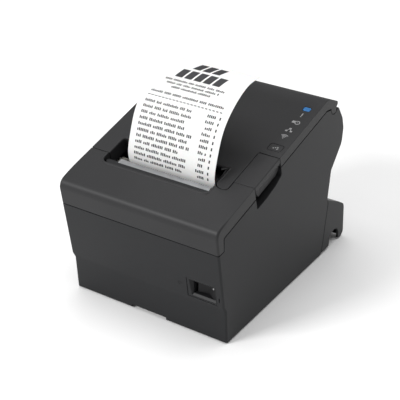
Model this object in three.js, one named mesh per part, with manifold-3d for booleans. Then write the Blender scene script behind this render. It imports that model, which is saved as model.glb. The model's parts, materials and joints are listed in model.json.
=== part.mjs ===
// Thermal receipt printer for 80 mm paper, as an assembly of separate pieces.
// Units are millimetres, +Z is up, the front faces -Y and the right-hand side is +X.
// Outlines of cases and covers are side views, given as [y, z] and drawn out along X.
import * as THREE from 'three';
import { mergeVertices } from 'three/addons/utils/BufferGeometryUtils.js';
import Module from 'manifold-3d';

const wasm = await Module();
wasm.setup();

// Driving dimensions
const bodyWidth = 145;
const connectorReach = 14.5; // how far the connector cover stands behind the 195 mm body
const half = bodyWidth / 2;
const wall = 2.5;
const inside = half - wall;
const seam = 0.4; // gap between two covers that meet
const clearance = 0.3; // gap between pieces that touch

const slopeAngle = THREE.MathUtils.degToRad(14.4);
const slopeOrigin = [-55.4, 117.2]; // where the two top covers meet, on the sloping top face

const exitLeft = -55;
const exitRight = 44;
const exitFront = -10.8; // along the slope
const exitRear = 20.6;
const frontBand = 10.6; // depth of the front cover's side, square to the slope
const rearBand = 8.8;

const paperWidth = 79.5;
const paperCentre = 2.75;
const paperLeft = paperCentre - paperWidth / 2;
const paperRight = paperCentre + paperWidth / 2;
const rollCentre = [38, 94.5];
const rollRadius = 36;
const coreRadius = 9;
const binRadius = 38.5;

const platenCentre = [-38.5, 96];
const platenRadius = 7;
const nipTilt = THREE.MathUtils.degToRad(23); // the print head presses from the front, this far below level
const webGap = 0.9; // room between platen and print head for the paper

const hingeCentre = [78.5, 137.4];
const hingeRelief = 6.3;

// Openings and pieces on the sloping top: across in X and back along the slope in S
const leverX = [54.5, half];
const leverS = [9, 46];
const leverPivot = [39, -3];
const tongueRight = leverX[0] - seam;
const tongueFront = -1.2;
const tongueCorners = [6, 2.6];
const buttonX = [57.3, 69.3];
const buttonS = [52, 60.2];
const lensX = [59.2, 65.8];
const lensS = [105.2, 110.4];

// Openings and fixings in the case
const switchX = [40.4, 66.4];
const switchZ = [36.4, 54];
const rockerPivot = [56, -84.8];
const screwPlaces = [[-60, -66], [60, -66], [-60, 54], [60, 54]];
const footPlaces = [[-58, -50], [58, -50], [-58, 40], [58, 40]];

// Print head and paper feed
const sheet = 0.3; // paper, drawn thicker than it is
const headDepth = 3.2;
const headPlate = 1.2;
const headGive = 1; // room for the head to yield
const springEnd = webGap + headPlate + clearance + headDepth + headGive + 8;
const motorCentre = [-27, 65];
const platenTeeth = 16;
const feedIdlerTeeth = 22;
const feedPinionTeeth = 10;
const feedGearWidth = 5;
const feedGearX = -55.5;

// Cutter, placed on the slope
const cutterShaft = [-16, -9];
const cutterMotorSlope = [-28, -30];
const rackX = [-32, 38];
const cutterModule = 0.5;
const cutterTeeth = 22;
const cutterIdlerTeeth = 32;
const cutterPinionTeeth = 12;
const rackPinionTeeth = 16;
const cutterGearWidth = 4;
const cutterGearX = 53;

// Sockets in a row at the rear, standing on the main board
const boardZ = [11, 12.6];
const socketFoot = 13.2;
const socketRear = 64;
const socketRow = [
  { name: 'power_socket', x: 46, width: 15, height: 12, depth: 16, hole: [10, 7] },
  { name: 'drawer_socket', x: 24, width: 13, height: 12.5, depth: 15, hole: [9.5, 8] },
  { name: 'network_socket', x: 2, width: 16, height: 13.5, depth: 21, hole: [12, 9] },
  { name: 'usb_socket', x: -20, width: 12, height: 11, depth: 16, hole: [8, 7] },
  { name: 'serial_socket', x: -44, width: 19, height: 10.5, depth: 14, hole: [15, 7] },
];

// Materials
function finish(color, roughness, metalness = 0) {
  return new THREE.MeshStandardMaterial({ color, roughness, metalness });
}

const materials = {
  casing: finish(0x3a3a3c, 0.6),
  cover: finish(0x48484a, 0.6),
  lever: finish(0x444446, 0.55),
  innerPlastic: finish(0x1f1f20, 0.6),
  steel: finish(0xa9a9ab, 0.35, 1),
  darkSteel: finish(0x6f7073, 0.45, 1),
  zinc: finish(0xc2c4c6, 0.35, 1),
  aluminium: finish(0xb8babd, 0.4, 1),
  rubber: finish(0x1c1c1c, 0.9),
  paper: finish(0xf6f6f4, 0.85),
  board: finish(0x1f5a34, 0.5),
  ceramic: finish(0xe4e2da, 0.3),
  gear: finish(0xe2e0d8, 0.5),
  lens: finish(0x2f7fbf, 0.25),
  socket: finish(0x151516, 0.5),
  cardboard: finish(0xb08a5a, 0.9),
};

// Geometry helpers

// The same geometry with shared corners, as a manifold-3d solid
function solid(geometry) {
  const bare = geometry.clone();
  bare.deleteAttribute('normal');
  bare.deleteAttribute('uv');
  const merged = mergeVertices(bare, 1e-4);
  const vertProperties = new Float32Array(merged.attributes.position.array);
  const triVerts = new Uint32Array(merged.index.array);
  return new wasm.Manifold(new wasm.Mesh({ numProp: 3, vertProperties, triVerts }));
}

function geometryOf(manifold) {
  const mesh = manifold.getMesh();
  const geometry = new THREE.BufferGeometry();
  const positions = new Float32Array(mesh.numVert * 3);
  for (let i = 0; i < mesh.numVert; i += 1) {
    positions.set(mesh.position(i), i * 3);
  }
  geometry.setAttribute('position', new THREE.BufferAttribute(positions, 3));
  geometry.setIndex(new THREE.BufferAttribute(new Uint32Array(mesh.triVerts), 1));
  geometry.computeVertexNormals();
  return geometry;
}

const join = (first, ...rest) => rest.reduce((sum, piece) => sum.add(piece), first);
const cut = (first, ...rest) => rest.reduce((left, piece) => left.subtract(piece), first);

function shapeOf(points, holes = []) {
  const shape = new THREE.Shape(points.map(([u, v]) => new THREE.Vector2(u, v)));
  holes.forEach((hole) => shape.holes.push(new THREE.Path(hole.map(([u, v]) => new THREE.Vector2(u, v)))));
  return shape;
}

// An outline in Y and Z, drawn out along X
function alongX(points, x0, x1, holes = []) {
  const geometry = new THREE.ExtrudeGeometry(shapeOf(points, holes), { depth: x1 - x0, bevelEnabled: false });
  const turn = new THREE.Matrix4().set(0, 0, 1, x0, 1, 0, 0, 0, 0, 1, 0, 0, 0, 0, 0, 1);
  return solid(geometry.applyMatrix4(turn));
}

// An outline in X and Z, drawn out along Y
function alongY(points, y0, y1, holes = []) {
  const geometry = new THREE.ExtrudeGeometry(shapeOf(points, holes), { depth: y1 - y0, bevelEnabled: false });
  const turn = new THREE.Matrix4().set(1, 0, 0, 0, 0, 0, -1, y1, 0, 1, 0, 0, 0, 0, 0, 1);
  return solid(geometry.applyMatrix4(turn));
}

// An outline in X and Y, drawn out along Z
function alongZ(points, z0, z1, holes = []) {
  const geometry = new THREE.ExtrudeGeometry(shapeOf(points, holes), { depth: z1 - z0, bevelEnabled: false });
  return solid(geometry.translate(0, 0, z0));
}

function box([x0, x1], [y0, y1], [z0, z1]) {
  const geometry = new THREE.BoxGeometry(x1 - x0, y1 - y0, z1 - z0);
  return solid(geometry.translate((x0 + x1) / 2, (y0 + y1) / 2, (z0 + z1) / 2));
}

// A round bar along X
function bar([x0, x1], [y, z], radius, segments = 24) {
  const geometry = new THREE.CylinderGeometry(radius, radius, x1 - x0, segments);
  return solid(geometry.rotateZ(-Math.PI / 2).translate((x0 + x1) / 2, y, z));
}

// A round bar along Z
function post([x, y], [z0, z1], radius, segments = 24) {
  const geometry = new THREE.CylinderGeometry(radius, radius, z1 - z0, segments);
  return solid(geometry.rotateX(Math.PI / 2).translate(x, y, (z0 + z1) / 2));
}

// Points of an arc, from one angle to another in degrees
function arc([u, v], radius, from, to, steps) {
  return Array.from({ length: steps + 1 }, (_, i) => {
    const angle = THREE.MathUtils.degToRad(from + ((to - from) * i) / steps);
    return [u + radius * Math.cos(angle), v + radius * Math.sin(angle)];
  });
}

// Where the line through a and b meets the line through c and d
function meet(a, b, c, d) {
  const [ux, uy] = [b[0] - a[0], b[1] - a[1]];
  const [vx, vy] = [d[0] - c[0], d[1] - c[1]];
  const t = ((c[0] - a[0]) * vy - (c[1] - a[1]) * vx) / (ux * vy - uy * vx);
  return [a[0] + t * ux, a[1] + t * uy];
}

// An outline whose corners, given as [u, v, radius], are rounded where a radius is given
function rounded(corners, steps = 5) {
  return corners.flatMap(([u, v, radius], i) => {
    if (!radius) return [[u, v]];
    const corner = new THREE.Vector2(u, v);
    const before = corners[(i + corners.length - 1) % corners.length];
    const after = corners[(i + 1) % corners.length];
    const inward = new THREE.Vector2(before[0] - u, before[1] - v).normalize();
    const onward = new THREE.Vector2(after[0] - u, after[1] - v).normalize();
    const halfAngle = Math.acos(THREE.MathUtils.clamp(inward.dot(onward), -1, 1)) / 2;
    const reach = radius / Math.tan(halfAngle);
    const start = corner.clone().addScaledVector(inward, reach);
    const end = corner.clone().addScaledVector(onward, reach);
    const middle = inward.clone().add(onward).normalize().multiplyScalar(radius / Math.sin(halfAngle));
    const centre = corner.clone().add(middle);
    const from = start.clone().sub(centre).angle();
    let sweep = end.clone().sub(centre).angle() - from;
    if (sweep > Math.PI) sweep -= 2 * Math.PI;
    if (sweep < -Math.PI) sweep += 2 * Math.PI;
    return Array.from({ length: steps + 1 }, (_, k) => {
      const angle = from + (sweep * k) / steps;
      return [centre.x + radius * Math.cos(angle), centre.y + radius * Math.sin(angle)];
    });
  });
}

// A point given by its distance s back along the sloping top and n out from it
function onSlope(s, n) {
  const [y, z] = slopeOrigin;
  return [
    y + s * Math.cos(slopeAngle) - n * Math.sin(slopeAngle),
    z + s * Math.sin(slopeAngle) + n * Math.cos(slopeAngle),
  ];
}

// A box that is square to the sloping top
function slopeBox([x0, x1], [s0, s1], [n0, n1]) {
  return alongX([onSlope(s0, n0), onSlope(s1, n0), onSlope(s1, n1), onSlope(s0, n1)], x0, x1);
}

// A spur gear about X, centred on the origin, with straight-sided teeth and a bore
function spurGear(teeth, module, width, bore, phase = 0) {
  const pitchRadius = (teeth * module) / 2;
  const step = (2 * Math.PI) / teeth;
  const flank = [
    [-0.3, -1.0],
    [-0.19, 0],
    [-0.09, 0.75],
    [0.09, 0.75],
    [0.19, 0],
    [0.3, -1.0],
  ];
  const outline = [];
  for (let tooth = 0; tooth < teeth; tooth += 1) {
    flank.forEach(([turn, height]) => {
      const angle = phase + (tooth + turn) * step;
      const radius = pitchRadius + height * module;
      outline.push([radius * Math.cos(angle), radius * Math.sin(angle)]);
    });
  }
  return alongX(outline, -width / 2, width / 2, [arc([0, 0], bore, 0, 360, 20).slice(0, -1)]);
}

// The phase that puts a gear in mesh with a neighbour whose phase is known
function meshPhase(from, teethFrom, phaseFrom, to, teethTo) {
  const direction = Math.atan2(to[1] - from[1], to[0] - from[0]);
  const offset = ((direction - phaseFrom) * teethFrom) / (2 * Math.PI);
  return direction + Math.PI - (0.5 - offset) * ((2 * Math.PI) / teethTo);
}

// The centre of a gear that meshes with two others, on their right-hand side from a to b
function between(a, reachA, b, reachB) {
  const [dy, dz] = [b[0] - a[0], b[1] - a[1]];
  const span = Math.hypot(dy, dz);
  const along = (reachA ** 2 - reachB ** 2 + span ** 2) / (2 * span);
  const aside = Math.sqrt(reachA ** 2 - along ** 2);
  return [a[0] + (along * dy + aside * dz) / span, a[1] + (along * dz - aside * dy) / span];
}

const printer = new THREE.Group();

function add(name, shape, material, position = [0, 0, 0], parent = printer) {
  const mesh = new THREE.Mesh(geometryOf(shape), material);
  mesh.name = name;
  mesh.position.set(...position);
  parent.add(mesh);
  return mesh;
}

// Side-view outlines that several pieces share
const caseFloor = 1.2;
const faceTop = [-95.3, 84.9];
const faceFoot = [-87.6, 36];
const topRear = onSlope(110, 0);
const backSlope = [
  [67.1, 148.66],
  [83.6, 140.69],
];
const frontEdge = meet(faceTop, faceFoot, slopeOrigin, topRear);
const crest = meet(slopeOrigin, topRear, ...backSlope);

// Outer shells

// A shape drawn square to the sloping top, brought into place
function tilted(shape) {
  return shape.rotate([THREE.MathUtils.radToDeg(slopeAngle), 0, 0]).translate([0, ...slopeOrigin]);
}

// The tongue of the roll cover that runs forward beside the paper exit, grown all round
function tongueOutline(grown) {
  const [left, right] = [exitRight - grown, tongueRight + grown];
  return rounded([
    [left, tongueFront - grown, tongueCorners[0] + grown],
    [right, tongueFront - grown, tongueCorners[1] + grown],
    [right, exitRear],
    [left, exitRear],
  ]);
}

function frontCover() {
  const end = leverS[0] - seam;
  const foot = [faceTop[0] - 0.08, faceTop[1] + seam];
  const outline = rounded([
    foot,
    [...frontEdge, 8],
    onSlope(end, 0),
    onSlope(end, -frontBand),
    onSlope(-37.3, -frontBand),
    [-88.4, 86.6],
  ], 12);
  const inner = rounded([
    [-92.8, 80],
    [frontEdge[0] + wall * 1.15, frontEdge[1] - wall * 0.85, 5.5],
    onSlope(end + 5, -wall),
    onSlope(end + 5, -30),
  ]);
  const exit = rounded([
    [exitLeft, exitFront, 5],
    [exitRight, exitFront, 5],
    [exitRight, exitRear],
    [exitLeft, exitRear],
  ]);
  const shell = cut(
    alongX(outline, -half, half),
    alongX(inner, -inside, inside),
    slopeBox([-half - 1, exitLeft + 1], [-seam / 2, 20], [-30, 5]),
    slopeBox([exitRight - 1, exitRight + 3], [seam, 20], [-30, 5]),
    tilted(alongZ(exit, -30, 5)),
    tilted(alongZ(tongueOutline(seam), -30, 5)),
  );
  const skirt = slopeBox([exitLeft - 1.8, exitLeft], [-4.8, -seam / 2], [-9.5, -1.2]);
  return join(shell, skirt);
}

function rollCover() {
  const start = tongueFront;
  const outline = rounded([
    onSlope(start, 0),
    [...crest, 14],
    [83.7, 140.64, 1.5],
    [83.7, 138.4],
    [82.4, 136.7],
    [hingeCentre[0], 136.9],
    onSlope(122, -rearBand),
    onSlope(start, -rearBand),
  ]);
  const innerCrest = meet(onSlope(0, -wall), onSlope(110, -wall), [67.1, 145.9], [83.6, 137.93]);
  const inner = rounded([
    onSlope(start - 5, -wall),
    [...innerCrest, 11.5],
    [81.1, 139.14],
    [81.4, 130],
    onSlope(start - 5, -40),
  ]);
  const skin = join(
    alongX(outline, -half, half),
    bar([inside, half], hingeCentre, hingeRelief - seam, 32).intersect(alongX(hingeCheek(), 0, half)),
    bar([-half, -inside], hingeCentre, hingeRelief - seam, 32).intersect(alongX(hingeCheek(), -half, 0)),
  );
  const besideTongue = slopeBox([exitRight - 1, tongueRight + 1], [-5, 8], [-30, 5]);
  const hollow = cut(
    skin,
    alongX(inner, -inside, inside),
    slopeBox([-half - 1, exitLeft + 1], [-5, seam / 2], [-30, 5]),
    slopeBox([exitLeft, exitRight], [-5, exitRear], [-30, 5]),
    slopeBox([tongueRight, half + 1], [-5, leverS[1] + 0.5], [-30, 5]),
    besideTongue.subtract(tilted(alongZ(tongueOutline(0), -32, 6))),
  );
  const exitWalls = [
    slopeBox([exitLeft - 1.8, exitLeft], [seam / 2, exitRear + 1.2], [-12.5, -1.2]),
    slopeBox([exitLeft - 1.8, exitRight + 1.2], [exitRear, exitRear + 1.3], [-7, -1.2]),
    slopeBox([exitRight, exitRight + 1.2], [-tongueFront + 3.6, exitRear + 1.3], [-7, -1.2]),
  ];
  const leverWall = slopeBox([52, tongueRight], [0.5, 50], [-14, -wall / 2]);
  const ears = [-1, 1].map((side) => {
    const ends = [side * 62, side * 65.6].sort((a, b) => a - b);
    return bar(ends, hingeCentre, 3.3).intersect(alongX(hingeCheek(), ...ends));
  });
  const webs = [-1, 1].map((side) => {
    const ends = [side * 62, side * 65.6].sort((a, b) => a - b);
    return alongX([[76, 137.4], [81, 137.4], [81, 140.2], [76, 142.8]], ...ends);
  });
  const bosses = [-30, 36].map((x) => slopeBox([x - 4, x + 4], [36, 44], [-7.2, -wall / 2]));
  return cut(
    join(hollow, leverWall, ...exitWalls, ...ears, ...webs, ...bosses),
    bar([-66, -61], hingeCentre, 1.85),
    bar([61, 66], hingeCentre, 1.85),
    bar([50, 55], onSlope(...leverPivot), 1.3),
    slopeBox(buttonX, buttonS, [-20, 5]),
    slopeBox(lensX, lensS, [-20, 5]),
  );
}

// What the cover's cheek may fill round the hinge without standing proud of its outer skin
function hingeCheek() {
  return [[70, 125], [80.5, 125], [82.4, 136.7], [83.7, 138.4], [83.6, 140.69], [70, 147.2]];
}

function lowerCase() {
  const bandTop = onSlope(leverS[0] - seam, -frontBand - seam);
  const outline = rounded([
    [-82.8, caseFloor],
    [-84.6, 30.4],
    faceFoot,
    faceTop,
    [-88, 86.2],
    onSlope(-37.3 + 0.5, -frontBand - seam),
    bandTop,
    onSlope(leverS[0] - seam, -rearBand - seam),
    onSlope(121.5, -rearBand - seam),
    [86.4, 134.2, 3],
    [94.9, 121.6, 12],
    [97.9, 111.5, 8],
    [96.6, 98.5, 10],
    [79.7, 78.8, 3],
    [76.5, 54.6],
    [77.5, 47.3],
    [74.3, 28.6],
    [72.1, 12.1],
    [69.9, caseFloor],
  ]);
  const hollow = rounded([
    [-80.2, caseFloor - 2],
    [-82.05, 31.2],
    [-85.1, 36.5],
    [-93.3, 89],
    [-93.3, 160],
    [82.2, 160],
    [83.8, 133.4],
    [92.5, 120.8, 10],
    [95.4, 111.5, 6],
    [94.2, 99.4, 8],
    [77.2, 79.7, 2],
    [74, 54.9],
    [75, 47.4],
    [71.8, 28.9],
    [69.6, 12.3],
    [67.2, caseFloor - 2],
  ]);
  const pocketOutline = rounded([
    onSlope(8.6, -20.7),
    [...onSlope(22, -20.9), 8],
    [...onSlope(36, -19.6), 8],
    [...onSlope(46.4, -16.5), 3],
    onSlope(46.4, 10),
    onSlope(8.6, 10),
  ]);
  const pocketLining = [onSlope(6.6, -22.7), onSlope(48.4, -22.7), onSlope(48.4, -10.4), onSlope(6.6, -12.8)];
  // A lip that turns under the roll cover's tail, round the hinge
  const tailLip = [
    ...arc(hingeCentre, 7.2, -28, -118, 10),
    ...arc(hingeCentre, 8.8, -118, -40, 10),
    [85.6, 129],
    [87.6, 131.2],
  ];
  const lugs = [-1, 1].map((side) => {
    const ends = [side * 66, side * 69.7].sort((a, b) => a - b);
    const foot = [side * 66, side * (inside + 0.3)].sort((a, b) => a - b);
    const pin = [side * 61.8, side * 66.2].sort((a, b) => a - b);
    return join(
      bar(ends, hingeCentre, 2.2),
      alongX([[74, 120], [78.4, 120], [78.4, 137.4], [76.3, 137.4], [74, 132]], ...ends),
      alongX([[72, 116], [79, 116], [79, 128], [72, 128]], ...foot),
      bar(pin, hingeCentre, 1.5),
    );
  });
  return cut(
    join(
      cut(
        alongX(outline, -half, half),
        alongX(hollow, -inside, inside),
        bar([inside - 0.05, half + 1], hingeCentre, hingeRelief, 32),
        bar([-half - 1, -inside + 0.05], hingeCentre, hingeRelief, 32),
      ),
      alongX(pocketLining, 62, inside + 0.3),
      alongX(tailLip, -60.5, 60.5),
      ...lugs,
    ),
    alongX(pocketOutline, 64, half + 1),
    box(switchX, [-100, -70], switchZ),
    box([-59, 61], [66, 80], [6.5, 45]),
    box([-17, 16], [-90, -75], [0, 3.4]),
  );
}

function connectorCover() {
  const reach = 97.5 + connectorReach;
  const outline = rounded([
    [70.6, 2.2],
    [72.6, 12.1],
    [74.8, 28.6],
    [78, 47.3],
    [77.2, 55],
    [100.5, 40.6, 6],
    [110, 33, 6],
    [reach, 3.8, 4],
    [107, 0.6, 2],
    [101.5, 2.2],
  ]);
  const hollow = rounded([
    [66, -2],
    [66, 20],
    [77, 60],
    [79.6, 51],
    [99.6, 38, 4],
    [108, 31.2, 4],
    [reach - 2.2, 3.8, 3],
    [106, -2],
  ]);
  const arch = [[85, -1], [102, -1], ...arc([93.5, 6], 8.5, 0, 180, 10)];
  return cut(
    alongX(outline, -half, half),
    alongX(hollow, -inside - 0.3, inside + 0.3),
    alongX(arch, -half - 1, half + 1),
  );
}

function bottomPlate() {
  const plate = alongZ(rounded([
    [-69.4, -79.4, 4],
    [69.4, -79.4, 4],
    [69.4, 66.4, 4],
    [-69.4, 66.4, 4],
  ], 3), 2.2, 4.2);
  const hangers = [-38, 38].map((x) => box([x - 4, x + 4], [30, 36], [0, 9]));
  return cut(plate, ...screwPlaces.map((place) => post(place, [0, 9], 1.9)), ...hangers);
}

function foot() {
  const profile = [[0, 0], [6.2, 0], [7, 0.6], [7, 1.9], [0, 1.9]].map(([r, z]) => new THREE.Vector2(r, z));
  return solid(new THREE.LatheGeometry(profile, 28).rotateX(Math.PI / 2));
}

// A pan-head screw that stands head down in the bottom plate
function baseScrew() {
  const head = post([0, 0], [0.4, 1.9], 3, 20);
  const shank = post([0, 0], [1.8, 9], 1.5, 16);
  return cut(join(head, shank), box([-0.4, 0.4], [-2, 2], [0, 0.9]), box([-2, 2], [-0.4, 0.4], [0, 0.9]));
}

// Frame, bin and paper

// The steel frame: two cheeks joined by a floor, with open slots that the platen's bushes drop into
function chassis() {
  const slotFront = 4.2;
  const slotRear = 15.1;
  const seat = platenSeat();
  const cheek = [
    onSlope(-34, -36),
    [-60, 55],
    [-9, 55],
    [-9, 82],
    onSlope(36, -30),
    onSlope(39, -30),
    onSlope(39, -22.2),
    onSlope(slotRear, -20),
    ...seat,
    onSlope(slotFront, -22),
    onSlope(slotFront, -19),
    onSlope(-20, -3.4),
    onSlope(-34, -3.4),
  ];
  const floor = box([-50, 50], [-60, -9], [55, 56.4]);
  const feet = [-1, 1].map((side) => {
    const ends = [side * 50, side * 62].sort((a, b) => a - b);
    return box(ends, [-46, -26], [55, 56.4]);
  });
  const springBar = headBox([-49, 49], [-13, -5], [springEnd, springEnd + 1.2]);
  const shaftHole = onSlope(...cutterShaft);
  const leftCheek = cut(alongX(cheek, -50, -48.6), bar([-52, -47], motorCentre, 5));
  const rightCheek = cut(
    alongX(cheek, 48.6, 50),
    bar([47, 52], shaftHole, 1.9),
    bar([47, 52], cutterIdler, 1.9),
    bar([47, 52], cutterMotorCentre, 3.6),
  );
  return join(floor, leftCheek, rightCheek, springBar, ...feet);
}

// The round bottom of the slot, from its rear side to its front side
function platenSeat() {
  return arc(platenCentre, 3.9, 14.4, -165.6, 8);
}

function rollBin() {
  const web = webLine();
  const outer = arc(rollCentre, binRadius + 1.8, 16, -122, 22);
  const innerSide = arc(rollCentre, binRadius, -122, 16, 22);
  const lip = [
    [-5, web.heightAt(-5) - 3.8],
    [-5, web.heightAt(-5) - 2],
    [14, web.heightAt(14) - 2],
  ];
  const trough = alongX([...outer, ...lip, ...innerSide.slice(1)], paperLeft - 2.3, paperRight + 2.3);
  const cheek = rounded([
    [-5, 66],
    [20, 55],
    [60, 55],
    [74.5, 80],
    [78.5, 105, 6],
    [66, 122, 12],
    [20, 118, 12],
    [-5, 76, 3],
  ], 4);
  const left = alongX(cheek, paperLeft - 2.3, paperLeft - 0.8);
  const right = cut(
    alongX(cheek, paperRight + 0.8, paperRight + 2.3),
    box([paperRight, paperRight + 3], [16, 36], [68, 82]),
  );
  const legs = [12, 36].map((y) => box([paperLeft, paperRight], [y, y + 2.5], [13, 65]));
  const room = bar([paperLeft - 0.8, paperRight + 0.8], rollCentre, binRadius, 64);
  return join(trough, left, right, ...legs.map((leg) => leg.subtract(room)));
}

// The straight run of paper from the underside of the roll to the underside of the platen
function webLine() {
  const [dy, dz] = [platenCentre[0] - rollCentre[0], platenCentre[1] - rollCentre[1]];
  const span = Math.hypot(dy, dz);
  const normal = Math.atan2(dz, dy) + Math.acos((rollRadius - platenRadius) / span);
  const rollEnd = [
    rollCentre[0] + (rollRadius + clearance) * Math.cos(normal),
    rollCentre[1] + (rollRadius + clearance) * Math.sin(normal),
  ];
  const platenEnd = [
    platenCentre[0] + (platenRadius + clearance) * Math.cos(normal),
    platenCentre[1] + (platenRadius + clearance) * Math.sin(normal),
  ];
  const fall = (platenEnd[1] - rollEnd[1]) / (platenEnd[0] - rollEnd[0]);
  return { rollEnd, platenEnd, heightAt: (y) => rollEnd[1] + (y - rollEnd[0]) * fall };
}

function paperWeb() {
  const { rollEnd, platenEnd } = webLine();
  const [a, b] = [rollEnd, platenEnd];
  return alongX([[a[0], a[1] - sheet], a, b, [b[0], b[1] - sheet]], paperLeft, paperRight);
}

// The printed strip: cut off above the moving blade, out past the tear bar and back in a curl
function receiptStrip() {
  const route = new THREE.CatmullRomCurve3([
    onSlope(2.6, -15.2),
    [-51.4, 109],
    [-53.5, 115],
    [-54.6, 124],
    [-51.6, 136],
    [-45.2, 152.5],
    [-36.3, 164],
    [-22.5, 174.2],
    [-8, 180.4],
    [8, 181.6],
  ].map(([y, z]) => new THREE.Vector3(0, y, z)));
  const centre = route.getSpacedPoints(36);
  const front = [];
  const back = [];
  centre.forEach((point, i) => {
    const ahead = route.getTangentAt(i / 36);
    front.push([point.y - (ahead.z * sheet) / 2, point.z + (ahead.y * sheet) / 2]);
    back.unshift([point.y + (ahead.z * sheet) / 2, point.z - (ahead.y * sheet) / 2]);
  });
  return alongX([...front, ...back], paperLeft, paperRight);
}

function paperRoll() {
  const ends = [paperLeft + 0.2, paperRight - 0.2];
  return cut(bar(ends, [0, 0], rollRadius, 64), bar([-60, 60], [0, 0], coreRadius, 32));
}

function rollCore() {
  const ends = [paperLeft + 0.2, paperRight - 0.2];
  return cut(bar(ends, [0, 0], coreRadius - clearance, 32), bar([-60, 60], [0, 0], 6.2, 32));
}

// Platen, print head and paper feed

// A point at this distance from the platen's axis, in the direction of the print head
function nipPoint(distance) {
  return [platenCentre[0] - distance * Math.cos(nipTilt), platenCentre[1] - distance * Math.sin(nipTilt)];
}

// A box lying along the print head: t up along the paper's path, d away from the platen
function headBox([x0, x1], [t0, t1], [d0, d1]) {
  const [y, z] = nipPoint(platenRadius);
  const place = (t, d) => [
    y - t * Math.sin(nipTilt) - d * Math.cos(nipTilt),
    z + t * Math.cos(nipTilt) - d * Math.sin(nipTilt),
  ];
  return alongX([place(t0, d0), place(t0, d1), place(t1, d1), place(t1, d0)], x0, x1);
}

function thermalHead() {
  return headBox([-40, 46], [-13, 4.5], [webGap, webGap + headPlate]);
}

function headHeatsink() {
  const back = webGap + headPlate + clearance;
  const fins = Array.from({ length: 8 }, (_, i) => {
    const x = -33 + i * 10;
    return headBox([x - 1, x + 1], [-4, 4.5], [back + 3, back + 7]);
  });
  return join(headBox([-40, 46], [-19, 4.5], [back, back + headDepth]), ...fins);
}

// A coil spring drawn as its stack of turns, along Z from 0
function coilSpring(turns, radius, length) {
  const wire = length / turns;
  const profile = [];
  const pitch = length / turns;
  for (let turn = 0; turn < turns; turn += 1) {
    const z = turn * pitch;
    profile.push([radius - wire * 0.5, z + pitch * 0.02], [radius, z + pitch * 0.3]);
    profile.push([radius, z + pitch * 0.7], [radius - wire * 0.5, z + pitch * 0.98]);
  }
  const inner = radius - wire;
  const points = [[inner, 0], ...profile, [inner, length], [inner, 0]];
  const outline = points.map(([r, z]) => new THREE.Vector2(r, z));
  return solid(new THREE.LatheGeometry(outline, 16).rotateX(Math.PI / 2));
}

function platenShaft() {
  return bar([-59, 47.6], [0, 0], 2, 20);
}

function platenRubber() {
  return cut(bar([-38.4, 43.9], [0, 0], platenRadius, 40), bar([-60, 60], [0, 0], 2 + clearance, 20));
}

function platenBush() {
  return cut(bar([-2.2, 2.2], [0, 0], 3.4, 24), bar([-4, 4], [0, 0], 2 + clearance, 20));
}

// The bracket under the roll cover that carries the platen between two ears
function platenBracket() {
  const ear = rounded([
    onSlope(6.5, -24.7),
    onSlope(17, -27, 0),
    onSlope(42, -9.2),
    onSlope(42, -7.6),
    onSlope(21.5, -7.6),
    onSlope(8, -19),
  ]);
  const round = (x0, x1) => join(alongX(ear, x0, x1), bar([x0, x1], platenCentre, 5));
  const plate = slopeBox([-46.6, 46.6], [21.5, 46], [-8.8, -7.6]);
  const bladeSeat = slopeBox([-46.6, 46.6], [16, 22.6], [-8.8, -7.6]);
  return cut(
    join(round(-46.6, -45.4), round(45.4, 46.6), plate, bladeSeat),
    bar([-50, 50], platenCentre, 2 + clearance, 20),
    slopeBox([-50, 50], [2, 12.5], [-15, -7]),
  );
}

function fixedBlade() {
  return join(
    slopeBox([paperLeft - 2, paperRight + 2], [6.2, 18], [-14.6, -13.6]),
    slopeBox([paperLeft - 2, paperRight + 2], [17, 18], [-14.6, -9.2]),
  );
}

const feedIdler = between(
  platenCentre, (platenTeeth + feedIdlerTeeth) / 2, motorCentre, (feedPinionTeeth + feedIdlerTeeth) / 2,
);
const feedIdlerPhase = meshPhase(platenCentre, platenTeeth, 0, feedIdler, feedIdlerTeeth);
const feedPinionPhase = meshPhase(feedIdler, feedIdlerTeeth, feedIdlerPhase, motorCentre, feedPinionTeeth);

function feedMotor() {
  return join(
    bar([-46, -26], motorCentre, 8.3, 36),
    alongX(rounded([[-38, 60], [-16, 60], [-16, 70], [-38, 70]].map(([y, z]) => [y, z, 4]), 4), -48.3, -46),
    bar([-60, -48], motorCentre, 1, 16),
  );
}

// Cutter

const cutterMotorCentre = onSlope(...cutterMotorSlope);
const cutterIdler = between(onSlope(...cutterShaft), 13.5, cutterMotorCentre, 11);
const cutterIdlerPhase = meshPhase(onSlope(...cutterShaft), cutterTeeth, 0, cutterIdler, cutterIdlerTeeth);
const cutterPinionPhase = meshPhase(
  cutterIdler, cutterIdlerTeeth, cutterIdlerPhase, cutterMotorCentre, cutterPinionTeeth,
);

// The tray below the moving blade, with rails at its sides
function cutterFrame() {
  return join(
    slopeBox([-46.5, 46.5], [-27, -3], [-18.6, -17.4]),
    slopeBox([-46.5, -44.8], [-27, -3], [-18.6, -12]),
    slopeBox([44.8, 46.5], [-27, -3], [-18.6, -12]),
  );
}

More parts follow.
